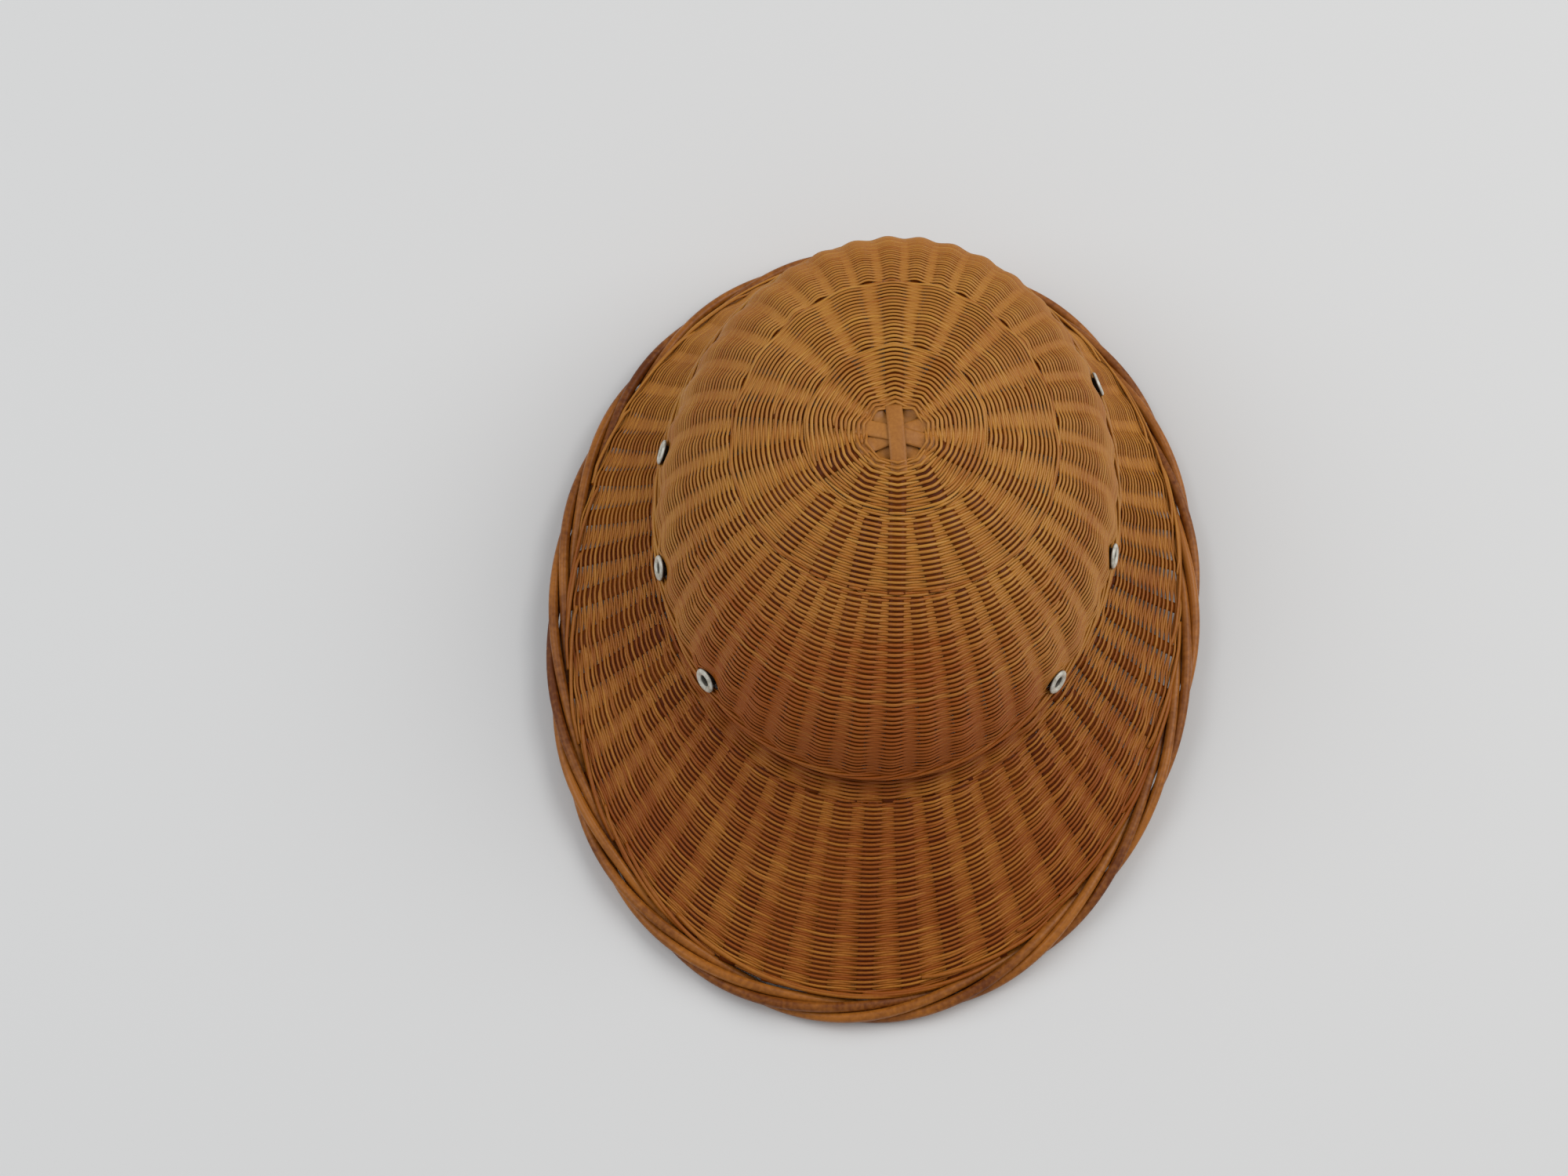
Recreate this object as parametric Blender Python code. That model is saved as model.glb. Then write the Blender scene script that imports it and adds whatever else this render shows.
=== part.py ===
# A woven cane pith helmet at rest on its brim, crown up, its long front brim towards -Y.
import math

import bmesh
import bpy
from mathutils import Vector

for thing in list(bpy.data.objects):
    bpy.data.objects.remove(thing, do_unlink=True)

# Clearance between neighbouring pieces
GAP = 0.0003

# Crown: plan half sizes at its foot, rise above the foot, and the roundness of its profile
CROWN_HALF_WIDTH = 0.0965
CROWN_HALF_LENGTH = 0.1207
CROWN_RISE = 0.0802
CROWN_TOP_ROUND = 1.5
CROWN_SIDE_ROUND = 2.155
CROWN_WALL = 0.003

# Foot of the crown: its height over the floor, how much lower it runs at the sides, and its lip
FOOT_HEIGHT = 0.0542
FOOT_SIDE_DIP = 0.0025
LIP_SWELL = 0.0008
LIP_HEIGHT = 0.006

# Hub: the round opening where the splints cross
HUB_RADIUS = 0.0123
HUB_WALL = 0.0016
SPLINT_WIDTH = 0.007
SPLINT_THICKNESS = 0.0008
SPLINT_TUCK = 0.0045
SPLINT_BEARINGS = (0, 108, 72, 144, 36)

# Brim: how far the border's outside stands from the crown's foot, and how it falls
SIDE_BRIM = 0.0435
FRONT_BRIM = 0.0909
BACK_BRIM = 0.0233
BRIM_FORWARD = 0.029
BRIM_SQUARENESS = 2.05
BRIM_SIDE_LIFT = 0.0089
BRIM_HOLLOW = 0.0022
BRIM_WALL = 0.003
COLLAR_DEPTH = 0.0022

# Stakes under the weave; each one stands out as a rib. Their feet crowd towards the front and
# spread at the sides, and the brim's first one stands a share of the way round from the front.
CROWN_STAKES = 40
STAKE_TURN = 9.0
BRIM_STAKES = 48
BRIM_TURN = -0.004
BRIM_RELIEF = 0.0005
FRONT_CROWDING = math.radians(13.7)
SIDE_SPREAD = math.radians(3.85)

# Rolled border: thick rods laid round each other
ROD_RADIUS = 0.0021
ROD_COUNT = 4
ROD_TURNS = 6
ROD_STATIONS = 84
ROD_SIDES = 5

# Eyelets, turned from sheet: a flange outside, a barrel through the wall and a curl inside
EYELET_RADIUS = 0.0057
EYELET_BORE = 0.0025
EYELET_BARREL = 0.0033
EYELET_CURL = 0.0044
EYELET_RISE = 0.0013
EYELET_HEIGHT = 0.009
EYELET_BEARINGS = {
    "eyelet_right_front": -42,
    "eyelet_right_middle": -69,
    "eyelet_right_rear": -94,
    "eyelet_left_front": 54,
    "eyelet_left_middle": 84,
    "eyelet_left_rear": 122,
}

# Zones of the crown: share of its plan radius where the zone starts, its stakes and its relief
# as a share of the brim's
ZONES = (
    {"start": 0.0, "stakes": CROWN_STAKES // 4, "relief": 0.5},
    {"start": 0.38, "stakes": CROWN_STAKES // 2, "relief": 0.9},
    {"start": 0.707, "stakes": CROWN_STAKES, "relief": 1.4},
)
OUTER_RINGS = (0.0, 0.06, 0.16, 0.28, 0.40, 0.52, 0.63, 0.72, 0.81, 0.885, 0.945, 0.976, 0.991, 0.9978, 1.0)
INNER_RINGS = (1.0, 0.991, 0.945, 0.81, 0.63, 0.40, 0.16, 0.0)
BRIM_RUNS = (0.0, 0.14, 0.4, 0.7, 1.0)

# Sizes that follow from the ones above
LAY_RADIUS = 1.02 * (ROD_RADIUS + GAP / 2) / math.sin(math.pi / ROD_COUNT)
ROPE_RADIUS = LAY_RADIUS + ROD_RADIUS
EDGE_HALF_WIDTH = CROWN_HALF_WIDTH + SIDE_BRIM - ROPE_RADIUS
EDGE_FRONT = CROWN_HALF_LENGTH + FRONT_BRIM - BRIM_FORWARD - ROPE_RADIUS
EDGE_BACK = CROWN_HALF_LENGTH + BACK_BRIM + BRIM_FORWARD - ROPE_RADIUS
CROWN_CENTRE_Y = (FRONT_BRIM - BACK_BRIM) / 2
EDGE_CENTRE_Y = CROWN_CENTRE_Y - BRIM_FORWARD


def power(value, exponent):
    return math.copysign(abs(value) ** exponent, value)


def foot_height(t):
    return FOOT_HEIGHT - FOOT_SIDE_DIP * math.sin(t) ** 2


def plan_normal(t):
    """Outward normal of the crown's oval, seen from above; t is 0 at the front."""
    return Vector((math.sin(t) / CROWN_HALF_WIDTH, -math.cos(t) / CROWN_HALF_LENGTH, 0)).normalized()


def crown_base(t, share):
    """Crown surface without ribs: share runs from 0 at the hub's rim to 1 at the foot."""
    across = HUB_RADIUS + (CROWN_HALF_WIDTH - HUB_RADIUS) * share
    along = HUB_RADIUS + (CROWN_HALF_LENGTH - HUB_RADIUS) * share
    hub_share = 2 * HUB_RADIUS / (CROWN_HALF_WIDTH + CROWN_HALF_LENGTH)
    radial = hub_share + (1 - hub_share) * share
    foot = foot_height(t)
    rise = max(0.0, 1 - radial**CROWN_TOP_ROUND) ** (1 / CROWN_SIDE_ROUND)
    height = foot + (FOOT_HEIGHT + CROWN_RISE - foot) * rise
    return Vector((across * math.sin(t), CROWN_CENTRE_Y - along * math.cos(t), height))


def crown_normal(t, share):
    if share > 0.9999:
        return plan_normal(t)
    step = 0.0005
    inward, outward = crown_base(t, max(share - step, 0)), crown_base(t, share + step)
    aside = crown_base(t + step, share) - crown_base(t - step, share)
    normal = aside.cross(outward - inward).normalized()
    return normal if normal.z > 0 else -normal


def crown_wall(share):
    blend = min(share / 0.25, 1.0)
    return HUB_WALL + (CROWN_WALL - HUB_WALL) * blend


def near_eyelet(point):
    """Ribs die out under each eyelet's flange: 0 on it, 1 away from it."""
    seats = [crown_base(math.radians(b), EYELET_SHARE) for b in EYELET_BEARINGS.values()]
    distance = min((point - seat).length for seat in seats)
    return min(max(distance / EYELET_RADIUS - 1.3, 0.0), 1.0)


def crown_relief(t, share, point):
    zone = [z for z in ZONES if share >= z["start"]][-1]
    fade = min(1.0, share / 0.06, (1 - share) / 0.004)
    wave = math.cos(zone["stakes"] * (t - math.radians(STAKE_TURN)))
    return BRIM_RELIEF * zone["relief"] * fade * near_eyelet(point) * wave


def crown_outer(t, share):
    point = crown_base(t, share)
    over_foot = (point.z - foot_height(t)) / LIP_HEIGHT
    lip = LIP_SWELL * max(0.0, 1 - (over_foot - 1) ** 2)
    return point + crown_normal(t, share) * (crown_relief(t, share, point) + lip)


def crown_inner(t, share):
    return crown_base(t, share) - crown_normal(t, share) * crown_wall(share)


def share_at_height(height):
    """Share of the run to the foot where the crown's front stands this high over its foot."""
    low, high = 0.5, 1.0
    for _ in range(50):
        middle = (low + high) / 2
        if crown_base(0.0, middle).z - FOOT_HEIGHT > height:
            low = middle
        else:
            high = middle
    return low


EYELET_SHARE = share_at_height(EYELET_HEIGHT)


def material(name, colour, metallic=0.0, roughness=0.6):
    made = bpy.data.materials.new(name)
    made.use_nodes = True
    shader = made.node_tree.nodes["Principled BSDF"]
    shader.inputs["Base Color"].default_value = (*colour, 1)
    shader.inputs["Metallic"].default_value = metallic
    shader.inputs["Roughness"].default_value = roughness
    return made


def body(name, points, faces, look):
    mesh = bpy.data.meshes.new(name)
    mesh.from_pydata([tuple(p) for p in points], [], faces)
    facing = bmesh.new()
    facing.from_mesh(mesh)
    bmesh.ops.recalc_face_normals(facing, faces=facing.faces)
    facing.to_mesh(mesh)
    facing.free()
    mesh.shade_smooth()
    mesh.materials.append(look)
    made = bpy.data.objects.new(name, mesh)
    bpy.context.collection.objects.link(made)
    return made


def ring_body(name, rings, look):
    """A closed body of rings of equal length, whose last ring meets the first."""
    count, size = len(rings), len(rings[0])
    points = [p for ring in rings for p in ring]
    faces = []
    for i in range(count):
        for j in range(size):
            k, m = (i + 1) % count, (j + 1) % size
            faces.append((i * size + j, i * size + m, k * size + m, k * size + j))
    return body(name, points, faces, look)


CANE = material("crown_weave_cane", (0.42, 0.21, 0.07))
BRIM_CANE = material("brim_weave_cane", (0.37, 0.18, 0.06))
SPLINT_CANE = material("flat_splint_cane", (0.40, 0.22, 0.10))
ROD_CANE = material("border_rod_cane", (0.25, 0.10, 0.035))
EYELET_METAL = material("eyelet_metal", (0.62, 0.60, 0.52), 1.0, 0.4)


def build_crown():
    columns = [2 * math.pi * i / (2 * CROWN_STAKES) for i in range(2 * CROWN_STAKES)]
    rings = [[crown_outer(t, share) for t in columns] for share in OUTER_RINGS]
    rings += [[crown_inner(t, share) for t in columns] for share in INNER_RINGS]
    return ring_body("crown", rings, CANE)


def edge_curve(t):
    """Centre line of the rolled border."""
    across = EDGE_HALF_WIDTH * power(math.sin(t), 2 / BRIM_SQUARENESS)
    reach = EDGE_FRONT if math.cos(t) > 0 else EDGE_BACK
    along = reach * power(math.cos(t), 2 / BRIM_SQUARENESS)
    lift = BRIM_SIDE_LIFT * math.sin(t) ** 4
    return Vector((across, EDGE_CENTRE_Y - along, ROPE_RADIUS + lift))


def table_of(steps, weight):
    """Running share of the way round, from a weight for each step of angle."""
    total, table = 0.0, [0.0]
    for i in range(steps):
        total += weight(2 * math.pi * i / steps, 2 * math.pi * (i + 1) / steps)
        table.append(total)
    return [value / total for value in table]


def read_table(table, value):
    place = (value % 1.0) * (len(table) - 1)
    low = int(place)
    high = min(low + 1, len(table) - 1)
    return table[low] + (table[high] - table[low]) * (place - low)


def invert_table(table):
    """Angles at even shares of what the table sums."""
    steps, made, at = len(table) - 1, [], 0
    for i in range(steps + 1):
        share = i / steps
        while at < steps - 1 and table[at + 1] < share:
            at += 1
        span = max(table[at + 1] - table[at], 1e-12)
        made.append((at + (share - table[at]) / span) / steps)
    return made


EVEN_EDGE = invert_table(table_of(720, lambda a, b: (edge_curve(b) - edge_curve(a)).length))


def edge_point(share):
    return edge_curve(2 * math.pi * read_table(EVEN_EDGE, share))


def edge_tangent(share):
    return (edge_point(share + 0.001) - edge_point(share - 0.001)).normalized()


def foot_angle(share):
    """Bearing on the crown's foot of the stake that meets the border at this share."""
    turn = 2 * math.pi * share
    return turn - FRONT_CROWDING * math.sin(turn) + SIDE_SPREAD * math.sin(2 * turn)


def foot_point(share):
    t = foot_angle(share)
    return crown_base(t, 1.0) - Vector((0, 0, GAP))


def brim_base(share, run):
    """Brim surface without ribs: share goes round it, run from 0 at the foot to 1 at the border."""
    foot, rope = foot_point(share), edge_point(share)
    way = (rope - foot).normalized()
    tangent = edge_tangent(share)
    over = tangent.cross(way).normalized()
    over = over if over.z > 0 else -over
    end = rope - way * (ROPE_RADIUS + GAP) / way.cross(tangent).length + over * BRIM_WALL / 2
    hollow = BRIM_HOLLOW * 4 * run * (1 - run)
    return foot.lerp(end, run) - Vector((0, 0, hollow))


def brim_normal(share, run):
    step = 0.002
    aside = brim_base(share + step, run) - brim_base(share - step, run)
    along = brim_base(share, min(run + step, 1)) - brim_base(share, max(run - step, 0))
    normal = aside.cross(along).normalized()
    return normal if normal.z > 0 else -normal


def brim_point(share, run, depth):
    fade = min(1.0, run / BRIM_RUNS[1])
    relief = BRIM_RELIEF * fade * math.cos(2 * math.pi * BRIM_STAKES * (share - BRIM_TURN))
    return brim_base(share, run) + brim_normal(share, run) * (relief - depth)


def collar_point(share, depth):
    """Inner side of the collar that stands under the crown's foot."""
    inward = plan_normal(foot_angle(share)) * CROWN_WALL
    return foot_point(share) - inward - Vector((0, 0, depth))


def build_brim():
    columns = [i / (2 * BRIM_STAKES) + BRIM_TURN for i in range(2 * BRIM_STAKES)]
    rings = [[brim_point(s, run, 0) for s in columns] for run in BRIM_RUNS]
    rings += [[brim_point(s, run, BRIM_WALL) for s in columns] for run in BRIM_RUNS[:0:-1]]
    rings += [[collar_point(s, depth) for s in columns] for depth in (COLLAR_DEPTH, 0)]
    return ring_body("brim", rings, BRIM_CANE)


def build_rod(number):
    rings = []
    for i in range(ROD_STATIONS):
        share = i / ROD_STATIONS
        tangent = edge_tangent(share)
        outward = tangent.cross(Vector((0, 0, 1))).normalized()
        upward = outward.cross(tangent).normalized()
        turn = 2 * math.pi * (ROD_TURNS * share + number / ROD_COUNT) - math.pi / 2
        centre = edge_point(share) + LAY_RADIUS * (math.cos(turn) * outward + math.sin(turn) * upward)
        corners = [turn + 2 * math.pi * k / ROD_SIDES for k in range(ROD_SIDES)]
        rings.append([centre + ROD_RADIUS * (math.cos(a) * outward + math.sin(a) * upward) for a in corners])
    return ring_body(f"border_rod_{number + 1}", rings, ROD_CANE)


def under_hub(radius):
    """Height of the crown's inner face near the hub, at this distance from its centre."""
    share = (radius - HUB_RADIUS) / (CROWN_HALF_WIDTH - HUB_RADIUS)
    return crown_base(math.pi / 2, share).z - crown_wall(max(share, 0)) * 1.05


def build_splint(number):
    bearing = math.radians(SPLINT_BEARINGS[number] - STAKE_TURN)
    along = Vector((math.sin(bearing), math.cos(bearing), 0))
    aside = Vector((along.y, -along.x, 0))
    centre = Vector((0, CROWN_CENTRE_Y, 0))
    reach = HUB_RADIUS + SPLINT_TUCK
    drop = GAP + number * (SPLINT_THICKNESS + GAP)
    points, faces = [], []
    stations = (-1.0, -0.5, 0.0, 0.5, 1.0)
    for station in stations:
        for side, depth in ((-1, 0), (1, 0), (1, SPLINT_THICKNESS), (-1, SPLINT_THICKNESS)):
            flat = along * reach * station + aside * SPLINT_WIDTH / 2 * side
            height = under_hub(max(flat.length, HUB_RADIUS)) - drop - depth
            points.append(centre + flat + Vector((0, 0, height)))
    for i in range(len(stations) - 1):
        for j in range(4):
            k = (j + 1) % 4
            faces.append((4 * i + j, 4 * i + 4 + j, 4 * i + 4 + k, 4 * i + k))
    faces.append((0, 1, 2, 3))
    last = 4 * (len(stations) - 1)
    faces.append((last + 3, last + 2, last + 1, last))
    return body(f"hub_splint_{number + 1}", points, faces, SPLINT_CANE)


def eyelet_frame(bearing):
    t = math.radians(bearing)
    normal = crown_normal(t, EYELET_SHARE)
    over_foot = (crown_base(t, EYELET_SHARE).z - foot_height(t)) / LIP_HEIGHT
    lip = LIP_SWELL * max(0.0, 1 - (over_foot - 1) ** 2)
    seat = crown_base(t, EYELET_SHARE) + normal * lip
    level = Vector((0, 0, 1)).cross(normal).normalized()
    return seat, normal, level, normal.cross(level).normalized()


def turned(name, profile, sides, bearing, look):
    """A profile of (radius, height) turned about the eyelet's axis."""
    seat, normal, level, upright = eyelet_frame(bearing)
    rings = []
    for i in range(sides):
        a = 2 * math.pi * i / sides
        aside = level * math.cos(a) + upright * math.sin(a)
        rings.append([seat + aside * radius + normal * height for radius, height in profile])
    return ring_body(name, rings, look)


def build_eyelet(name, bearing):
    stand = EYELET_STAND
    inside = stand - 2 * EYELET_STAND - CROWN_WALL - LIP_SWELL
    profile = (
        (EYELET_BORE, inside - EYELET_RISE / 2),
        (EYELET_BORE, stand + EYELET_RISE / 2),
        (EYELET_BORE + 0.0006, stand + EYELET_RISE),
        (EYELET_RADIUS - 0.001, stand + EYELET_RISE),
        (EYELET_RADIUS, stand + EYELET_RISE / 3),
        (EYELET_RADIUS, stand),
        (EYELET_BARREL, stand),
        (EYELET_BARREL, inside),
        (EYELET_CURL, inside),
        (EYELET_CURL, inside - EYELET_RISE / 2),
    )
    return turned(name, profile, 12, bearing, EYELET_METAL)


def drill(target, bearing):
    """Cuts the eyelet's hole through the crown's wall."""
    seat, normal, level, upright = eyelet_frame(bearing)
    radius, half = EYELET_BARREL + GAP, 2 * (CROWN_WALL + LIP_SWELL)
    points, faces, sides = [], [], 12
    for height in (-half, half):
        for i in range(sides):
            a = 2 * math.pi * (i + 0.5) / sides
            aside = level * math.cos(a) + upright * math.sin(a)
            points.append(seat + aside * radius / math.cos(math.pi / sides) + normal * height)
    faces.append(tuple(range(sides - 1, -1, -1)))
    faces.append(tuple(range(sides, 2 * sides)))
    for i in range(sides):
        k = (i + 1) % sides
        faces.append((i, k, sides + k, sides + i))
    cutter = body("drill", points, faces, EYELET_METAL)
    cut = target.modifiers.new("drill", "BOOLEAN")
    cut.operation = "DIFFERENCE"
    cut.solver = "EXACT"
    cut.object = cutter
    cutter.hide_render = True


# The flange stands clear of the wall's curve under it
EYELET_STAND = GAP + EYELET_RADIUS**2 / (2 * CROWN_HALF_WIDTH) + LIP_SWELL / 4

crown = build_crown()
build_brim()
for number in range(ROD_COUNT):
    build_rod(number)
for number in range(len(SPLINT_BEARINGS)):
    build_splint(number)
for name, bearing in EYELET_BEARINGS.items():
    drill(crown, bearing)
    build_eyelet(name, bearing)
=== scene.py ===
import math

import bpy
import numpy as np
from mathutils import Matrix, Vector


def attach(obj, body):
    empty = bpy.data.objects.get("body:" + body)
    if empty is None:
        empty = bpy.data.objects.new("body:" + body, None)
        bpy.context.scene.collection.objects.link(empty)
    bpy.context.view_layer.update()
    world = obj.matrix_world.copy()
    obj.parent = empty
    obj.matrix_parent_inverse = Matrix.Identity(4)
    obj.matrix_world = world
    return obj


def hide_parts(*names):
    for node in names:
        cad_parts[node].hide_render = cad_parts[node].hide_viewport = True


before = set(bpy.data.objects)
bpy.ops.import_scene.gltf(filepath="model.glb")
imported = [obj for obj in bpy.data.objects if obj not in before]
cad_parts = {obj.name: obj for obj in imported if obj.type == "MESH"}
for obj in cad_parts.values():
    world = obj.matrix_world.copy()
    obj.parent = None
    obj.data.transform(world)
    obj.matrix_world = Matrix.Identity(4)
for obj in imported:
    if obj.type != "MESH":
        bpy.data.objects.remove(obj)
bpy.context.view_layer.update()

# Sizes of the solids, in metres, as the part's own source has them
GAP = 0.0003
CROWN_HALF_WIDTH = 0.0965
CROWN_HALF_LENGTH = 0.1207
CROWN_RISE = 0.0802
CROWN_TOP_ROUND = 1.5
CROWN_SIDE_ROUND = 2.155
FOOT_HEIGHT = 0.0542
FOOT_SIDE_DIP = 0.0025
LIP_SWELL = 0.0008
LIP_HEIGHT = 0.006
HUB_RADIUS = 0.0123
SPLINT_WIDTH = 0.007
SPLINT_BEARINGS = (0, 108, 72, 144, 36)
SIDE_BRIM = 0.0435
FRONT_BRIM = 0.0909
BACK_BRIM = 0.0233
BRIM_FORWARD = 0.029
BRIM_SQUARENESS = 2.05
BRIM_SIDE_LIFT = 0.0089
BRIM_HOLLOW = 0.0022
BRIM_WALL = 0.003
STAKE_TURN = math.radians(9.0)
BRIM_STAKES = 48
BRIM_TURN = -0.004
FRONT_CROWDING = math.radians(13.7)
SIDE_SPREAD = math.radians(3.85)
ROD_RADIUS = 0.0021
ROD_COUNT = 4
ROD_TURNS = 6
EYELET_RADIUS = 0.0057
EYELET_BORE = 0.0025
EYELET_BARREL = 0.0033
EYELET_RISE = 0.0013
EYELET_HEIGHT = 0.009
EYELET_BEARINGS = {
    "eyelet_right_front": -42,
    "eyelet_right_middle": -69,
    "eyelet_right_rear": -94,
    "eyelet_left_front": 54,
    "eyelet_left_middle": 84,
    "eyelet_left_rear": 122,
}
LAY_RADIUS = 1.02 * (ROD_RADIUS + GAP / 2) / math.sin(math.pi / ROD_COUNT)
ROPE_RADIUS = LAY_RADIUS + ROD_RADIUS
EDGE_HALF_WIDTH = CROWN_HALF_WIDTH + SIDE_BRIM - ROPE_RADIUS
EDGE_FRONT = CROWN_HALF_LENGTH + FRONT_BRIM - BRIM_FORWARD - ROPE_RADIUS
EDGE_BACK = CROWN_HALF_LENGTH + BACK_BRIM + BRIM_FORWARD - ROPE_RADIUS
CROWN_CENTRE_Y = (FRONT_BRIM - BACK_BRIM) / 2
EDGE_CENTRE_Y = CROWN_CENTRE_Y - BRIM_FORWARD

# The weave: strand thickness, how deep its middle lies in the wall and how far it swings
STRAND_RADIUS = 0.00055
STRAND_SIDES = 6
WEAVE_DEPTH = 0.00140
WEAVE_SWING = 0.00080
WEAVE_SWELL = 0.00022

# Half widths of the strands in strand radii, how much of that is lost halfway between two stakes,
# their half height, how unlike they are, and how slowly they cross between two stakes
CROWN_STRAND = 1.26
BRIM_STRAND = 1.10
CROSSING_SPREAD = -0.20
STRAND_FLATNESS = 0.88
STRAND_UNEVENNESS = 0.05
CROSSING_BEND = 1.9

# Rows: how they wander, and how short pairs close up (in degrees) and tuck in at their ends
WANDER_WAVES = (3, 7, 13, 29)
WANDER_FALL = 0.4
ROW_WANDER = 0.10
HEIGHT_WANDER = 0.012
FADE_PAST, FADE_OVER = 4, 30
TUCK_STATIONS = 6

# Steps between stations crowd towards the foot, where the wall is steepest
CROWDING = 1.6
STAKE_CROWDING = 1.4
ROW_STATIONS = 321
RING_STATIONS = 801

# Stakes
HUB_STAKES, MIDDLE_STAKES, WALL_STAKES = 10, 20, 40
HUB_PULL_FADE = 0.13
STAKE_WIDTH = 0.0080
WALL_STAKE_WIDTH = 0.0062
SLIM_STAKE_WIDTH = 0.0055
STAKE_HALF = 0.00034
STAKE_TUCK = 0.0011
STAKE_TUCK_REACH = 0.0035
STAKE_START_WIDTH, STAKE_WIDENING = 0.35, 0.65
STRIP_START = (0, 0.012, 0.024, 0.038)

# Tails, wale, rods, splints and eyelets
TAILS = 26
TAIL_LENGTH = 0.07
TAIL_INSET = 0.0042
TAIL_STATIONS = 44
TAIL_WIDE, TAIL_TALL = 0.00085, 0.00055
WALE_SHARE = 0.9992
WALE_STATIONS = 560
WALE_WIDE, WALE_TALL = 0.00078, 0.00062
ROD_STATIONS = 480
ROD_FULLNESS = 1.02
SPLINT_LEAN = math.radians(2.5)
SPLINT_REACH = 0.0168
SPLINT_STATIONS = 33
SPLINT_HALF = 0.00036
SPLINT_DEPTH, SPLINT_STEP = 0.0013, 0.00078
EYELET_TILT = 0.13
EYELET_FLANGE = EYELET_RADIUS - 0.0003
EYELET_DEPTH = -0.0042
EYELET_SIDES = 48
EYELET_ROUND_STEPS = 10
EYELET_CLEARANCE = 0.0005
EYELET_PUSH_WIDTH, EYELET_PUSH_REACH = 1.7, 0.0085

# Where the brim's own stakes start, and where its inner rows give way to the outer ones
BRIM_RING = 0.095
BRIM_HALF = 0.5

# Rings of the crown where stakes are added: the way along the wall from the hub, at the sides,
# and how much shorter it is in front and longer at the back
RING_ONE, RING_ONE_LEAN = 0.0255, 0.0052
RING_TWO, RING_TWO_LEAN = 0.0610, 0.0090

# Steps for slopes, and the UV strip of each strand, with its end caps at the strip's right
STEP_AROUND, STEP_DOWN, LOWEST_SHARE = 0.0004, 0.0006, -0.05
EDGE_STEP = 0.001
UPRIGHT = 0.2
UV_MARGIN, UV_HEIGHT, UV_LENGTH = 0.04, 0.92, 0.965
UV_CAP_PLACES = (0.975, 0.99)
UV_CAP_WIDE, UV_CAP_TALL = 0.006, 0.4

rng = np.random.default_rng(11)


def unit(v):
    return v / np.maximum(np.linalg.norm(v, axis=-1, keepdims=True), 1e-12)


def power(value, exponent):
    return np.sign(value) * np.abs(value) ** exponent


def smooth(x):
    x = np.clip(x, 0, 1)
    return x * x * (3 - 2 * x)


# The crown's surface: around runs from -0.5 to 0.5 with the front at 0, share from hub to foot

def foot_height(t):
    return FOOT_HEIGHT - FOOT_SIDE_DIP * np.sin(t) ** 2


def crown_surface(around, share):
    t = 2 * np.pi * around
    across = HUB_RADIUS + (CROWN_HALF_WIDTH - HUB_RADIUS) * share
    along = HUB_RADIUS + (CROWN_HALF_LENGTH - HUB_RADIUS) * share
    hub_share = 2 * HUB_RADIUS / (CROWN_HALF_WIDTH + CROWN_HALF_LENGTH)
    radial = np.clip(hub_share + (1 - hub_share) * share, 0, None)
    foot = foot_height(t)
    rise = np.clip(1 - radial**CROWN_TOP_ROUND, 0, None) ** (1 / CROWN_SIDE_ROUND)
    height = foot + (FOOT_HEIGHT + CROWN_RISE - foot) * rise
    across, along, height, t = np.broadcast_arrays(across, along, height, t)
    return np.stack([across * np.sin(t), CROWN_CENTRE_Y - along * np.cos(t), height], axis=-1)


def lip_swell(around, share):
    over_foot = (crown_surface(around, share)[..., 2] - foot_height(2 * np.pi * around)) / LIP_HEIGHT
    return LIP_SWELL * np.clip(1 - (over_foot - 1) ** 2, 0, None)


# The brim's surface: share runs round it with the front at 0, run from the foot to the border

def edge_curve(t):
    across = EDGE_HALF_WIDTH * power(np.sin(t), 2 / BRIM_SQUARENESS)
    reach = np.where(np.cos(t) > 0, EDGE_FRONT, EDGE_BACK)
    along = reach * power(np.cos(t), 2 / BRIM_SQUARENESS)
    height = ROPE_RADIUS + BRIM_SIDE_LIFT * np.sin(t) ** 4
    return np.stack([across, EDGE_CENTRE_Y - along, height], axis=-1)


TABLE_STEPS = 720
table_angle = np.linspace(0, 2 * np.pi, TABLE_STEPS + 1)
edge_steps = np.linalg.norm(np.diff(edge_curve(table_angle), axis=0), axis=-1)
edge_share = np.concatenate([[0], np.cumsum(edge_steps)]) / edge_steps.sum()


def edge_point(share):
    return edge_curve(np.interp(np.mod(share, 1.0), edge_share, table_angle))


def edge_tangent(share):
    return unit(edge_point(share + EDGE_STEP) - edge_point(share - EDGE_STEP))


def foot_angle(share):
    turn = 2 * np.pi * share
    return turn - FRONT_CROWDING * np.sin(turn) + SIDE_SPREAD * np.sin(2 * turn)


def brim_surface(share, run):
    share, run = np.broadcast_arrays(share, run)
    foot = crown_surface(foot_angle(share) / (2 * np.pi), np.ones_like(share)) - [0, 0, GAP]
    rope = edge_point(share)
    way = unit(rope - foot)
    tangent = edge_tangent(share)
    over = unit(np.cross(tangent, way))
    over = np.where(over[..., 2:] > 0, over, -over)
    slant = np.linalg.norm(np.cross(way, tangent), axis=-1, keepdims=True)
    end = rope - way * (ROPE_RADIUS + GAP) / slant + over * BRIM_WALL / 2
    point = foot + (end - foot) * run[..., None]
    point[..., 2] -= BRIM_HOLLOW * 4 * run * (1 - run)
    return point


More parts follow.
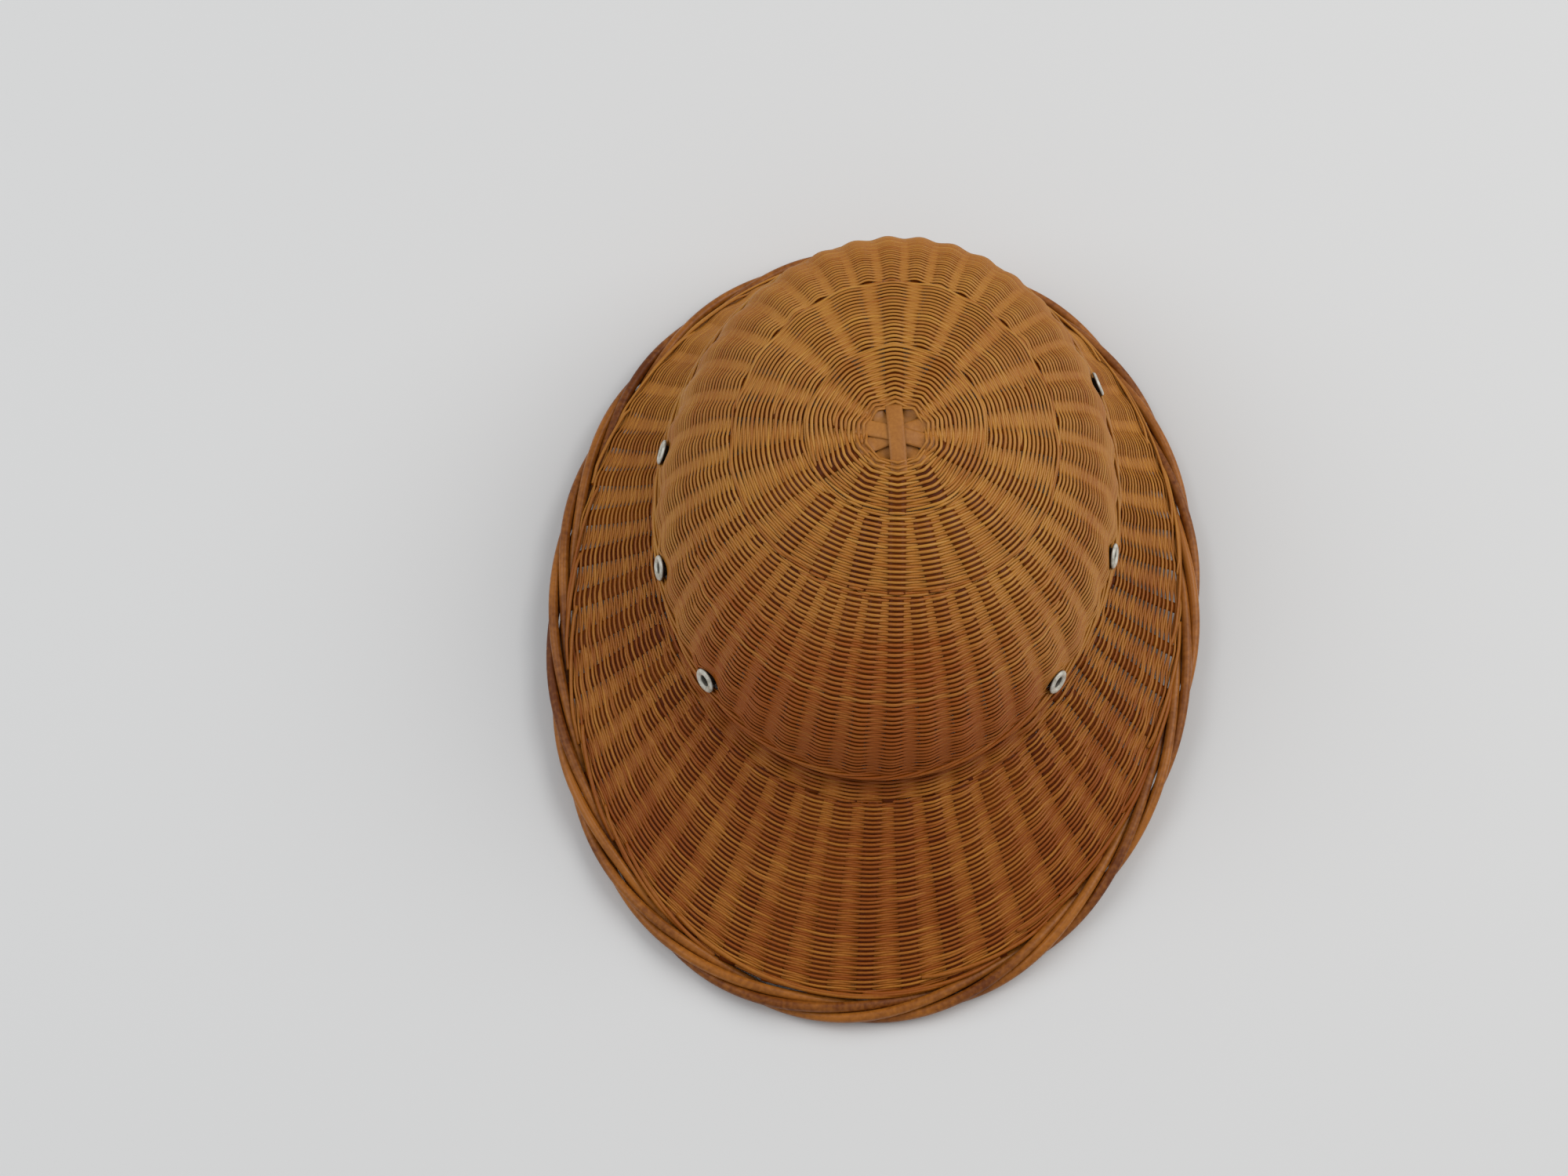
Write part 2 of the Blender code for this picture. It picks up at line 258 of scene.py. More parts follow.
def normal_of(surface, around, share):
    """Outward normals, from the surface's own slope."""
    low, high = np.maximum(share - STEP_DOWN, LOWEST_SHARE), np.minimum(share + STEP_DOWN, 1)
    aside = surface(around + STEP_AROUND, share) - surface(around - STEP_AROUND, share)
    down = surface(around, high) - surface(around, low)
    normal = unit(np.cross(aside, down))
    inward = np.sum(normal[..., :2] * (surface(around, share)[..., :2] - [0, CROWN_CENTRE_Y]), axis=-1)
    wrong = np.where(np.abs(normal[..., 2]) > UPRIGHT, normal[..., 2] < 0, inward < 0)
    return np.where(wrong[..., None], -normal, normal)


# Meshes from arrays

def mesh_object(name, points, faces, uv, tone, look):
    """faces is a list of (count, corners) arrays; uv has one place for each corner."""
    mesh = bpy.data.meshes.new(name)
    corners = np.concatenate([f.ravel() for f in faces])
    sizes = np.concatenate([np.full(len(f), f.shape[1]) for f in faces])
    mesh.vertices.add(len(points))
    mesh.vertices.foreach_set("co", np.asarray(points, dtype=np.float32).ravel())
    mesh.loops.add(len(corners))
    mesh.loops.foreach_set("vertex_index", corners.astype(np.int32))
    mesh.polygons.add(len(sizes))
    mesh.polygons.foreach_set("loop_start", np.concatenate([[0], np.cumsum(sizes)[:-1]]).astype(np.int32))
    mesh.update(calc_edges=True)
    layer = mesh.uv_layers.new(name="OFBake")
    layer.data.foreach_set("uv", np.asarray(uv, dtype=np.float32).ravel())
    # The attribute holds each strand's tone and, on the eyelets, the mask of their painted bore shade.
    mark = mesh.attributes.new("strand_tone_and_bore_shade", "FLOAT", "POINT")
    mark.data.foreach_set("value", np.asarray(tone, dtype=np.float32))
    mesh.shade_smooth()
    mesh.validate()
    mesh.materials.append(look)
    made = bpy.data.objects.new(name, mesh)
    bpy.context.scene.collection.objects.link(made)
    return made


def bundle(name, strands, look, nodes, sides=STRAND_SIDES):
    """One piece made of many strands. Each strand is a dict with path, up, wide, tall, closed, tone."""
    points, quads, caps, quad_uv, cap_uv, tones = [], [], [], [], [], []
    start, count = 0, len(strands)
    corner = np.arange(sides)
    following = (corner + 1) % sides
    for strip, strand in enumerate(strands):
        path, closed = strand["path"], strand["closed"]
        n = len(path)
        if closed:
            along = unit(np.roll(path, -1, axis=0) - np.roll(path, 1, axis=0))
        else:
            along = unit(np.gradient(path, axis=0))
        side = unit(np.cross(along, strand["up"]))
        up = np.cross(side, along)
        angle = 2 * np.pi * (corner + 0.5) / sides
        wide = np.broadcast_to(strand["wide"], (n,))[:, None, None]
        tall = np.broadcast_to(strand["tall"], (n,))[:, None, None]
        ring = path[:, None] + side[:, None] * np.cos(angle)[None, :, None] * wide
        ring = ring + up[:, None] * np.sin(angle)[None, :, None] * tall
        points.append(ring.reshape(-1, 3))
        tones.append(np.full(n * sides, strand["tone"]))
        here = np.arange(n if closed else n - 1)
        nxt = (here + 1) % n
        a = start + here[:, None] * sides + corner
        b = start + here[:, None] * sides + following
        c = start + nxt[:, None] * sides + following
        d = start + nxt[:, None] * sides + corner
        quads.append(np.stack([a, b, c, d], axis=-1).reshape(-1, 4))
        length = n if closed else (n - 1) / UV_LENGTH
        u0 = np.broadcast_to((here / length)[:, None], (len(here), sides))
        u1 = np.broadcast_to(((here + 1) / length)[:, None], (len(here), sides))
        v0 = np.broadcast_to((strip + UV_MARGIN + UV_HEIGHT * corner / sides) / count, u0.shape)
        v1 = np.broadcast_to((strip + UV_MARGIN + UV_HEIGHT * (corner + 1) / sides) / count, u0.shape)
        quad_uv.append(np.stack([u0, v0, u0, v1, u1, v1, u1, v0], axis=-1).reshape(-1, 2))
        if not closed:
            for first, middle_u, order in zip((0, n - 1), UV_CAP_PLACES, (-1, 1)):
                caps.append((start + first * sides + corner)[::order][None])
                turn = angle[::order]
                v = (strip + 0.5 + UV_CAP_TALL * np.sin(turn)) / count
                cap_uv.append(np.stack([middle_u + UV_CAP_WIDE * np.cos(turn), v], axis=-1))
        start += n * sides
    faces, uv = [np.concatenate(quads)], [np.concatenate(quad_uv)]
    if caps:
        faces.append(np.concatenate(caps))
        uv.append(np.concatenate(cap_uv))
    made = mesh_object(name, np.concatenate(points), faces, np.concatenate(uv), np.concatenate(tones), look)
    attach(made, "root")
    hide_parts(*nodes)
    return made


# Finishes

def group_sockets(group, inputs, outputs):
    for name, kind, value in inputs:
        made = group.interface.new_socket(name, in_out="INPUT", socket_type=kind)
        made.default_value = value
    for name, kind in outputs:
        group.interface.new_socket(name, in_out="OUTPUT", socket_type=kind)


def cane_grain():
    """Colour, roughness and height of split and peeled cane: tone of each strand, blotches and streaks, and
    a painted shade that deepens the colour towards the front.
    """
    group = bpy.data.node_groups.new("cane_grain", "ShaderNodeTree")
    group_sockets(
        group,
        [
            ("Pale", "NodeSocketColor", (0.6, 0.3, 0.1, 1)),
            ("Deep", "NodeSocketColor", (0.3, 0.12, 0.03, 1)),
            ("Strand Tone", "NodeSocketFloat", 0.5),
            ("Strand Spread", "NodeSocketFloat", 0.5),
            ("Blotch Scale", "NodeSocketFloat", 30.0),
            ("Blotch Amount", "NodeSocketFloat", 0.5),
            ("Streak Scale", "NodeSocketFloat", 900.0),
            ("Streak Amount", "NodeSocketFloat", 0.3),
            ("Front Shade Start", "NodeSocketFloat", 0.08),
            ("Front Shade End", "NodeSocketFloat", -0.08),
            ("Front Shade Amount", "NodeSocketFloat", 0.35),
        ],
        [("Colour", "NodeSocketColor"), ("Roughness", "NodeSocketFloat"), ("Height", "NodeSocketFloat")],
    )
    nodes, links = group.nodes, group.links
    given = nodes.new("NodeGroupInput")
    put = nodes.new("NodeGroupOutput")
    place = nodes.new("ShaderNodeTexCoord")
    blotch = nodes.new("ShaderNodeTexNoise")
    blotch.inputs["Detail"].default_value = 3
    links.new(place.outputs["Object"], blotch.inputs["Vector"])
    links.new(given.outputs["Blotch Scale"], blotch.inputs["Scale"])
    streak = nodes.new("ShaderNodeTexNoise")
    streak.inputs["Detail"].default_value = 2
    links.new(place.outputs["Object"], streak.inputs["Vector"])
    links.new(given.outputs["Streak Scale"], streak.inputs["Scale"])

    def math_of(first, second, operation="ADD"):
        node = nodes.new("ShaderNodeMath")
        node.operation = operation
        for socket, value in zip(node.inputs, (first, second)):
            if isinstance(value, float):
                socket.default_value = value
            else:
                links.new(value, socket)
        return node.outputs[0]

    def swing(value, amount):
        centred = math_of(value, 0.5, "SUBTRACT")
        return math_of(centred, amount, "MULTIPLY")

    strand = swing(given.outputs["Strand Tone"], given.outputs["Strand Spread"])
    blotches = swing(blotch.outputs["Fac"], given.outputs["Blotch Amount"])
    streaks = swing(streak.outputs["Fac"], given.outputs["Streak Amount"])
    apart = nodes.new("ShaderNodeSeparateXYZ")
    links.new(place.outputs["Object"], apart.inputs["Vector"])
    # Painted shade: the colour turns deeper towards the front, at -Y, standing in for the shade on the side
    # away from the window light.
    front_shade = nodes.new("ShaderNodeMapRange")
    front_shade.interpolation_type = "SMOOTHSTEP"
    links.new(apart.outputs["Y"], front_shade.inputs["Value"])
    links.new(given.outputs["Front Shade Start"], front_shade.inputs["From Min"])
    links.new(given.outputs["Front Shade End"], front_shade.inputs["From Max"])
    links.new(given.outputs["Front Shade Amount"], front_shade.inputs["To Max"])
    total = math_of(math_of(strand, math_of(blotches, 2.2, "MULTIPLY")), math_of(streaks, 0.5))
    total = math_of(total, front_shade.outputs["Result"])
    mix = nodes.new("ShaderNodeMix")
    mix.data_type = "RGBA"
    mix.clamp_factor = True
    links.new(total, mix.inputs[0])
    colours = [s for s in mix.inputs if s.type == "RGBA"]
    links.new(given.outputs["Pale"], colours[0])
    links.new(given.outputs["Deep"], colours[1])
    result = [s for s in mix.outputs if s.type == "RGBA"][0]
    links.new(result, put.inputs["Colour"])
    links.new(math_of(math_of(total, 0.18, "MULTIPLY"), 0.30), put.inputs["Roughness"])
    links.new(streak.outputs["Fac"], put.inputs["Height"])
    return group


CANE_GRAIN = cane_grain()
CANE_RELIEF, METAL_RELIEF = 0.15, 0.2
RELIEF_HEIGHT = 0.0002


def cane(name, pale, deep, spread, blotch_scale, blotch, streak_scale, streak, front_shade, gloss):
    """The argument before gloss gives where along Y the painted shade on the front starts and ends, and how
    strong it is: a deeper tone standing in for the shade on the side away from the window.
    """
    look = bpy.data.materials.new(name)
    look.use_nodes = True
    nodes, links = look.node_tree.nodes, look.node_tree.links
    shader = nodes["Principled BSDF"]
    shader.inputs["Specular IOR Level"].default_value = gloss
    grain = nodes.new("ShaderNodeGroup")
    grain.node_tree = CANE_GRAIN
    mark = nodes.new("ShaderNodeAttribute")
    mark.attribute_name = "strand_tone_and_bore_shade"
    links.new(mark.outputs["Fac"], grain.inputs["Strand Tone"])
    grain.inputs["Pale"].default_value = (*pale, 1)
    grain.inputs["Deep"].default_value = (*deep, 1)
    grain.inputs["Strand Spread"].default_value = spread
    grain.inputs["Blotch Scale"].default_value = blotch_scale
    grain.inputs["Blotch Amount"].default_value = blotch
    grain.inputs["Streak Scale"].default_value = streak_scale
    grain.inputs["Streak Amount"].default_value = streak
    for socket, value in zip(("Front Shade Start", "Front Shade End", "Front Shade Amount"), front_shade):
        grain.inputs[socket].default_value = value
    links.new(grain.outputs["Colour"], shader.inputs["Base Color"])
    links.new(grain.outputs["Roughness"], shader.inputs["Roughness"])
    relief = nodes.new("ShaderNodeBump")
    relief.inputs["Strength"].default_value = CANE_RELIEF
    relief.inputs["Distance"].default_value = RELIEF_HEIGHT
    links.new(grain.outputs["Height"], relief.inputs["Height"])
    links.new(relief.outputs["Normal"], shader.inputs["Normal"])
    return look


# Painted shade on the front: from which Y to which Y the colour turns deeper, and how strongly, standing in
# for the shade away from the window light. The last one has none.
CROWN_FRONT_SHADE = (0.0, -0.095, 0.60)
BRIM_FRONT_SHADE = (0.11, -0.11, 0.40)
NO_FRONT_SHADE = (0.1, -0.1, 0.0)
CROWN_CANE = cane(
    "crown_strand_cane", (0.56, 0.272, 0.044), (0.31, 0.072, 0.001),
    spread=0.5, blotch_scale=28, blotch=0.25, streak_scale=900, streak=0.3, front_shade=CROWN_FRONT_SHADE, gloss=0.34,
)
BRIM_CANE = cane(
    "brim_strand_cane", (0.61, 0.272, 0.035), (0.27, 0.063, 0.001),
    spread=0.5, blotch_scale=28, blotch=0.35, streak_scale=900, streak=0.3, front_shade=BRIM_FRONT_SHADE, gloss=0.30,
)
# The stakes are coloured far darker than the cane they are made of: painted shade, for the shaded gaps
# between the strands where the stakes show.
CROWN_STAKE_SHADED_CANE = cane(
    "crown_stake_shaded_cane", (0.16, 0.036, 0.002), (0.07, 0.012, 0.001),
    spread=0.6, blotch_scale=45, blotch=0.6, streak_scale=700, streak=0.5, front_shade=NO_FRONT_SHADE, gloss=0.08,
)
BRIM_STAKE_SHADED_CANE = cane(
    "brim_stake_shaded_cane", (0.22, 0.054, 0.003), (0.09, 0.015, 0.001),
    spread=0.6, blotch_scale=45, blotch=0.6, streak_scale=700, streak=0.5, front_shade=BRIM_FRONT_SHADE, gloss=0.10,
)
ROD_CANE = cane(
    "border_rod_cane", (0.38, 0.130, 0.018), (0.13, 0.030, 0.002),
    spread=0.6, blotch_scale=35, blotch=0.9, streak_scale=500, streak=1.2, front_shade=NO_FRONT_SHADE, gloss=0.26,
)
SPLINT_CANE = cane(
    "flat_splint_cane", (0.46, 0.190, 0.040), (0.28, 0.095, 0.014),
    spread=0.5, blotch_scale=60, blotch=0.6, streak_scale=800, streak=0.9, front_shade=NO_FRONT_SHADE, gloss=0.26,
)


def eyelet_finish():
    look = bpy.data.materials.new("eyelet_worn_metal_shaded_bore")
    look.use_nodes = True
    nodes, links = look.node_tree.nodes, look.node_tree.links
    shader = nodes["Principled BSDF"]
    shader.inputs["Metallic"].default_value = 0.2
    place = nodes.new("ShaderNodeTexCoord")
    mark = nodes.new("ShaderNodeAttribute")
    mark.attribute_name = "strand_tone_and_bore_shade"
    tarnish = nodes.new("ShaderNodeTexNoise")
    tarnish.inputs["Scale"].default_value = 420
    tarnish.inputs["Detail"].default_value = 4
    links.new(place.outputs["Object"], tarnish.inputs["Vector"])
    tint = nodes.new("ShaderNodeValToRGB")
    tint.color_ramp.elements[0].position = 0.3
    tint.color_ramp.elements[0].color = (0.42, 0.39, 0.31, 1)
    tint.color_ramp.elements[1].position = 0.58
    tint.color_ramp.elements[1].color = (0.70, 0.68, 0.60, 1)
    links.new(tarnish.outputs["Fac"], tint.inputs["Fac"])
    # Painted shade: where the attribute is 0, in the bore, under the flange and down the barrel, the metal
    # turns near black, standing in for the shade inside the hole.
    bore = nodes.new("ShaderNodeMix")
    bore.data_type = "RGBA"
    links.new(mark.outputs["Fac"], bore.inputs[0])
    colours = [s for s in bore.inputs if s.type == "RGBA"]
    colours[0].default_value = (0.035, 0.028, 0.02, 1)
    links.new(tint.outputs["Color"], colours[1])
    links.new([s for s in bore.outputs if s.type == "RGBA"][0], shader.inputs["Base Color"])
    rough = nodes.new("ShaderNodeMapRange")
    rough.inputs["To Min"].default_value = 0.5
    rough.inputs["To Max"].default_value = 0.3
    links.new(tarnish.outputs["Fac"], rough.inputs["Value"])
    links.new(rough.outputs["Result"], shader.inputs["Roughness"])
    relief = nodes.new("ShaderNodeBump")
    relief.inputs["Strength"].default_value = METAL_RELIEF
    relief.inputs["Distance"].default_value = RELIEF_HEIGHT
    links.new(tarnish.outputs["Fac"], relief.inputs["Height"])
    links.new(relief.outputs["Normal"], shader.inputs["Normal"])
    return look


EYELET_METAL = eyelet_finish()


# Rows of the weave

def front_angle(around):
    """Degrees from the front, 0 to 180."""
    return np.abs(np.degrees(2 * np.pi * around))


def from_middle(angle, end):
    """Degrees from the middle of a short pair: from the front, or from the back if its end is negative."""
    return angle if end > 0 else 180 - angle


def grouped_rows(angle, groups, pairs):
    """Rows in groups of two that go all the way round. pairs gives, for each group, the angles at
    which its short pairs end. Returns fractions (rows, places), parity and the end of each row."""
    opened = []
    for group in range(groups):
        opened.append([
            smooth((abs(end) + FADE_PAST - from_middle(angle, end)) / FADE_OVER) for end in pairs[group]
        ])
    widths = np.array([2 + 2 * sum(e, np.zeros_like(angle)) for e in opened])
    starts = np.concatenate([np.zeros((1, len(angle))), np.cumsum(widths, axis=0)])
    rows, parity, ends = [], [], []
    for group in range(groups):
        base = starts[group]
        for number in (0, 1):
            rows.append(base + 0.5 + number)
            parity.append(1 - 2 * number)
            ends.append(None)
        base = base + 2
        for e, end in zip(opened[group], pairs[group]):
            for number in (0, 1):
                rows.append(base + (0.5 + number) * e)
                parity.append(1 - 2 * number)
                ends.append(end)
            base = base + 2 * e
    return np.array(rows) / starts[-1], np.array(parity), ends


def wobble(places, size):
    """A slow, small wander along a row."""
    total = np.zeros_like(places)
    for waves in WANDER_WAVES:
        total += np.sin(2 * np.pi * (waves * places + rng.random())) * rng.normal() / waves**WANDER_FALL
    return total * size


def runs_along(points):
    """Length from the first row of points to each of the others."""
    steps = np.linalg.norm(np.diff(points, axis=0), axis=-1)
    return np.concatenate([np.zeros((1, points.shape[1])), np.cumsum(steps, axis=0)])


def crowded(stations, crowding):
    """Steps from 0 to 1 that get closer towards 1."""
    return 1 - (1 - np.linspace(0, 1, stations)) ** crowding


def row_shares(surface, places, begin, finish, fractions, eyelets=()):
    """Where each row lies between begin and finish, measured along the wall. Rows part round an eyelet."""
    line = begin + (finish - begin) * crowded(ROW_STATIONS, CROWDING)[:, None] * np.ones_like(places)
    run = runs_along(surface(places[None, :], line))
    shares = np.empty_like(fractions)
    pitch = 1 / len(fractions)
    wander = np.array([wobble(places, ROW_WANDER * pitch) for _ in fractions])
    lengths = np.clip(fractions + wander, 0, 1) * run[-1]
    for bearing in eyelets:
        centre = bearing / 360
        nearest = int(np.argmin(np.abs(places - centre)))
        ahead = surface(centre + EDGE_STEP, EYELET_SHARE) - surface(centre - EDGE_STEP, EYELET_SHARE)
        aside = (places - centre) * (np.linalg.norm(ahead) / (2 * EDGE_STEP))
        seat = np.interp(EYELET_SHARE, line[:, nearest], run[:, nearest])
        clear = EYELET_BARREL + EYELET_CLEARANCE
        push = clear * np.clip(1 - (aside / (EYELET_PUSH_WIDTH * clear)) ** 2, 0, None)
        for row in range(len(lengths)):
            away = lengths[row] - seat
            side = 1.0 if away[nearest] > 0 else -1.0
            moved = side * push + away * (1 - push / EYELET_PUSH_REACH)
            near = (np.abs(away) < EYELET_PUSH_REACH) & (push > 0)
            lengths[row] = np.where(near, seat + moved, lengths[row])
    for k in range(len(places)):
        shares[:, k] = np.interp(lengths[:, k], run[:, k], line[:, k])
    return shares


def weave(surface, places, shares, phase, parity, ends, angle, bend, width, spread=0.0, lift=None):
    """Strands over and under the stakes. phase is a whole number of pi at each stake, bend sets how
    slowly the strands cross halfway between two stakes, and spread how much wider they are there."""
    over = power(np.cos(phase), bend)
    swell = np.cos(2 * phase)
    strands = []
    for row, share in enumerate(shares):
        base = surface(places, share)
        normal = normal_of(surface, places, share)
        size = 1 + STRAND_UNEVENNESS * rng.normal()
        height = -WEAVE_DEPTH + WEAVE_SWELL * swell + parity[row] * WEAVE_SWING * over
        height = height * (1 + wobble(places, HEIGHT_WANDER))
        if lift is not None:
            height = height + lift(places, share)
        keep = np.arange(len(places))
        end = ends[row]
        if end is not None:
            if end < 0:
                keep = np.roll(keep, len(places) // 2)
            keep = keep[from_middle(angle, end)[keep] < abs(end)]
            edge = np.minimum(np.arange(len(keep)), np.arange(len(keep))[::-1])
            tuck = 1 - smooth(edge / TUCK_STATIONS)
            height[keep] = height[keep] * (1 - tuck) + tuck * (-WEAVE_DEPTH - WEAVE_SWING)
        strands.append({
            "path": (base + normal * height[:, None])[keep],
            "up": normal[keep],
            "wide": (STRAND_RADIUS * size * (width + spread * (1 - np.abs(over))))[keep],
            "tall": STRAND_RADIUS * size * STRAND_FLATNESS,
            "closed": end is None,
            "tone": float(np.clip(rng.normal(0.5, 0.22), 0, 1)),
        })
    return strands


def even_places(count):
    return (np.arange(count) + 0.5) / count - 0.5


def short_pairs(groups, *plans):
    """For each group of rows, the ends of its short pairs. A plan is a number of pairs, spread evenly
    over the groups, and the angles between which they end. Negative angles count from the back."""
    made = [[] for _ in range(groups)]
    for count, least, most in plans:
        for group in np.linspace(0, groups - 1, count).round().astype(int):
            made[group].append(float(rng.uniform(least, most)))
    return made


# How far down the crown's wall the eyelets sit, found by halving

low, high = 0.5, 1.0
for _ in range(50):
    half_way = (low + high) / 2
    if crown_surface(np.array(0.0), np.array(half_way))[2] - FOOT_HEIGHT > EYELET_HEIGHT:
        low = half_way
    else:
        high = half_way
EYELET_SHARE = low

CROWN_NODES = ("crown",)
BRIM_NODES = ("brim",)


def hub_corner_pull(places, shares):
    """Near the hub the rows run straight from one crossing to the next, like a ten-sided figure."""
    sector = 2 * np.pi / HUB_STAKES
    t = np.mod(2 * np.pi * places - STAKE_TURN - sector / 2, sector) - sector / 2
    bend = 1 - math.cos(sector / 2) / np.cos(sector / 2 - np.abs(t))
    radius = HUB_RADIUS + (CROWN_HALF_WIDTH - HUB_RADIUS) * shares
    return shares - bend * np.exp(-shares / HUB_PULL_FADE) * radius / (CROWN_HALF_WIDTH - HUB_RADIUS)


def ring(places, number, shift=0.0):
    """Share of a ring at each place: 0 the hub, 1 and 2 where stakes are added, 3 halfway down the
    wall, 4 the foot. shift moves it down the wall, in metres."""
    line = crowded(RING_STATIONS, CROWDING)
    run = runs_along(crown_surface(places[None, :], line[:, None]))
    forward = np.cos(2 * np.pi * places)
    one = RING_ONE - RING_ONE_LEAN * forward
    two = RING_TWO - RING_TWO_LEAN * forward
    goal = (0 * forward, one, two, (two + run[-1]) / 2, run[-1])[number] + shift
    return np.array([np.interp(goal[k], run[:, k], line) for k in range(len(places))])


def crown_band(name, number, pairs, stakes, samples, bend, eyelets=()):
    """The rows between one ring of the crown and the next."""
    places = even_places(samples)
    angle = front_angle(places)
    fractions, parity, ends = grouped_rows(angle, len(pairs), pairs)
    begin, finish = ring(places, number), ring(places, number + 1)
    shares = row_shares(crown_surface, places, begin, finish, fractions, eyelets)
    if number == 0:
        shares = hub_corner_pull(places, shares)
    phase = stakes / 2 * (2 * np.pi * places - STAKE_TURN)
    strands = weave(
        crown_surface, places, shares, phase, parity, ends, angle, bend,
        CROWN_STRAND, CROSSING_SPREAD, lip_swell,
    )
    return bundle(name, strands, CROWN_CANE, CROWN_NODES)


# Each band has its stakes and the stations round a row, more where there are more stakes to pass
crown_band("crown_weave_hub", 0, short_pairs(9, (5, -130, -70)), HUB_STAKES, 160, 1.25)
crown_band("crown_weave_middle", 1, short_pairs(15, (4, -140, -60)), MIDDLE_STAKES, 220, 1.5)
wall_pairs = (7, 30, 85), (2, -70, -40)
crown_band("crown_weave_wall", 2, short_pairs(15, *wall_pairs), WALL_STAKES, 320, CROSSING_BEND)
crown_band(
    "crown_weave_foot", 3, short_pairs(15, *wall_pairs), WALL_STAKES, 400, CROSSING_BEND,
    tuple(EYELET_BEARINGS.values()),
)


def brim_band(name, begin, finish, pairs, phase_of, samples):
    places = even_places(samples)
    turned = foot_angle(places)
    angle = np.abs(np.degrees(turned))
    fractions, parity, ends = grouped_rows(angle, len(pairs), pairs)
    shares = row_shares(brim_surface, places, begin, finish, fractions)
    phase = phase_of(places, turned)
    strands = weave(brim_surface, places, shares, phase, parity, ends, angle, CROSSING_BEND, BRIM_STRAND)
    return bundle(name, strands, BRIM_CANE, BRIM_NODES)


def crown_stake_phase(places, turned):
    return WALL_STAKES / 2 * (turned - STAKE_TURN)


def brim_stake_phase(places, turned):
    return BRIM_STAKES * np.pi * (places - BRIM_TURN)


brim_band(
    "brim_weave_foot", 0.01, BRIM_RING, short_pairs(2, (2, 50, 90), (1, 30, 60)), crown_stake_phase, 400,
)
brim_band(
    "brim_weave_inner", BRIM_RING + 0.003, BRIM_HALF, short_pairs(8, (8, 45, 85), (4, 20, 60)),
    brim_stake_phase, 384,
)
brim_band(
    "brim_weave_outer", BRIM_HALF, 0.995, short_pairs(9, (9, 45, 85), (5, 20, 60)), brim_stake_phase, 384,
)


# Stakes: flat strips that the strands pass over and under

def strips(name, surface, spots, begin, finish, stations, nodes, widths):
    """Strips at the given spots, each with its start tucked under the rows."""
    strands = []
    begin, finish, widths = (np.broadcast_to(value, len(spots)) for value in (begin, finish, widths))
    line = np.concatenate([STRIP_START, 1 - (1 - np.linspace(0.04, 1, stations)) ** STAKE_CROWDING])
    for spot, first, last, width in zip(spots, begin, finish, widths):
        share = first + (last - first) * line
        around = np.full(len(line), spot)
        normal = normal_of(surface, around, share)
        path = surface(around, share)
        free = smooth(runs_along(path[:, None])[:, 0] / STAKE_TUCK_REACH)
        path = path - normal * (WEAVE_DEPTH - WEAVE_SWELL + STAKE_TUCK * (1 - free))[:, None]
        strands.append({
            "path": path, "up": normal, "closed": False,
            "wide": width / 2 * (1 + 0.04 * rng.normal()) * (STAKE_START_WIDTH + STAKE_WIDENING * free),
            "tall": STAKE_HALF, "tone": float(rng.random()),
        })
    # The stake finishes carry painted shade for the gaps between the strands.
    look = CROWN_STAKE_SHADED_CANE if nodes == CROWN_NODES else BRIM_STAKE_SHADED_CANE
    return bundle(name, strands, look, nodes, sides=8)


def stake_spots(count):
    return STAKE_TURN / (2 * math.pi) + np.arange(count) / count - 0.5


def crown_stakes(name, count, number, stations, width):
    """Stakes that start just inside one ring of the crown and go on just past the next."""
    spots = stake_spots(count)
    first = ring(spots, number, 0.0002) if number else np.full(count, 0.03)
    last = np.minimum(ring(spots, number + 1 if number < 2 else 4, 0.001), 0.9995)
    strips(name, crown_surface, spots, first, last, stations, CROWN_NODES, width)


crown_stakes("crown_stakes_hub", HUB_STAKES, 0, 12, STAKE_WIDTH)
crown_stakes("crown_stakes_middle", MIDDLE_STAKES, 1, 14, STAKE_WIDTH)
crown_stakes("crown_stakes_wall", WALL_STAKES, 2, 18, WALL_STAKE_WIDTH)

brim_share = np.linspace(-0.5, 0.5, 4001)
brim_spots = np.arange(BRIM_STAKES) / BRIM_STAKES + BRIM_TURN - 0.5
wall_angle = (2 * np.pi * stake_spots(WALL_STAKES) + np.pi) % (2 * np.pi) - np.pi
foot_spots = np.interp(wall_angle, foot_angle(brim_share), brim_share)
strips(
    "brim_stakes_foot", brim_surface, foot_spots, 0.0, BRIM_RING + 0.01, 5, BRIM_NODES,
    WALL_STAKE_WIDTH,
)
# The stakes are slimmer, with open slits beside them, on the side at +X
slim = smooth((np.sin(foot_angle(brim_spots)) - 0.75) / 0.15)
strips(
    "brim_stakes", brim_surface, brim_spots, BRIM_RING - 0.008, 1.0, 18, BRIM_NODES,
    STAKE_WIDTH + (SLIM_STAKE_WIDTH - STAKE_WIDTH) * slim,
)


# Tails of the brim's stakes and last rows, turned aside to run along the border and under its rods

def border_tails():
    strands = []
    for k in range(TAILS):
        start = (k + 0.5 * rng.random()) / TAILS
        length = TAIL_LENGTH * (1 + 0.25 * rng.normal())
        part = np.linspace(0, 1, TAIL_STATIONS)
        share = start + length * part
        inset = TAIL_INSET * (1 + 0.25 * rng.normal())
        across = brim_surface(share, np.ones(TAIL_STATIONS)) - brim_surface(share, np.zeros(TAIL_STATIONS))
        depth = np.linalg.norm(across, axis=-1)
        run = 1 - inset / depth * (1 - part) ** 1.2
        normal = normal_of(brim_surface, share, np.minimum(run, 0.995))
        # A tail comes up over the rows and goes down under the rods
        lift = 0.0010 * smooth(part / 0.12) - 0.0016 * smooth((part - 0.75) / 0.25) - 0.0006
        path = brim_surface(share, run) + normal * lift[:, None]
        strands.append({
            "path": path, "up": normal, "closed": False,
            "wide": TAIL_WIDE * (1 + 0.1 * rng.normal()), "tall": TAIL_TALL,
            "tone": float(np.clip(rng.normal(0.55, 0.25), 0, 1)),
        })
    return bundle("border_tails", strands, BRIM_CANE, BRIM_NODES)


border_tails()


# A wale of long strands closes the crown's foot, over the brim

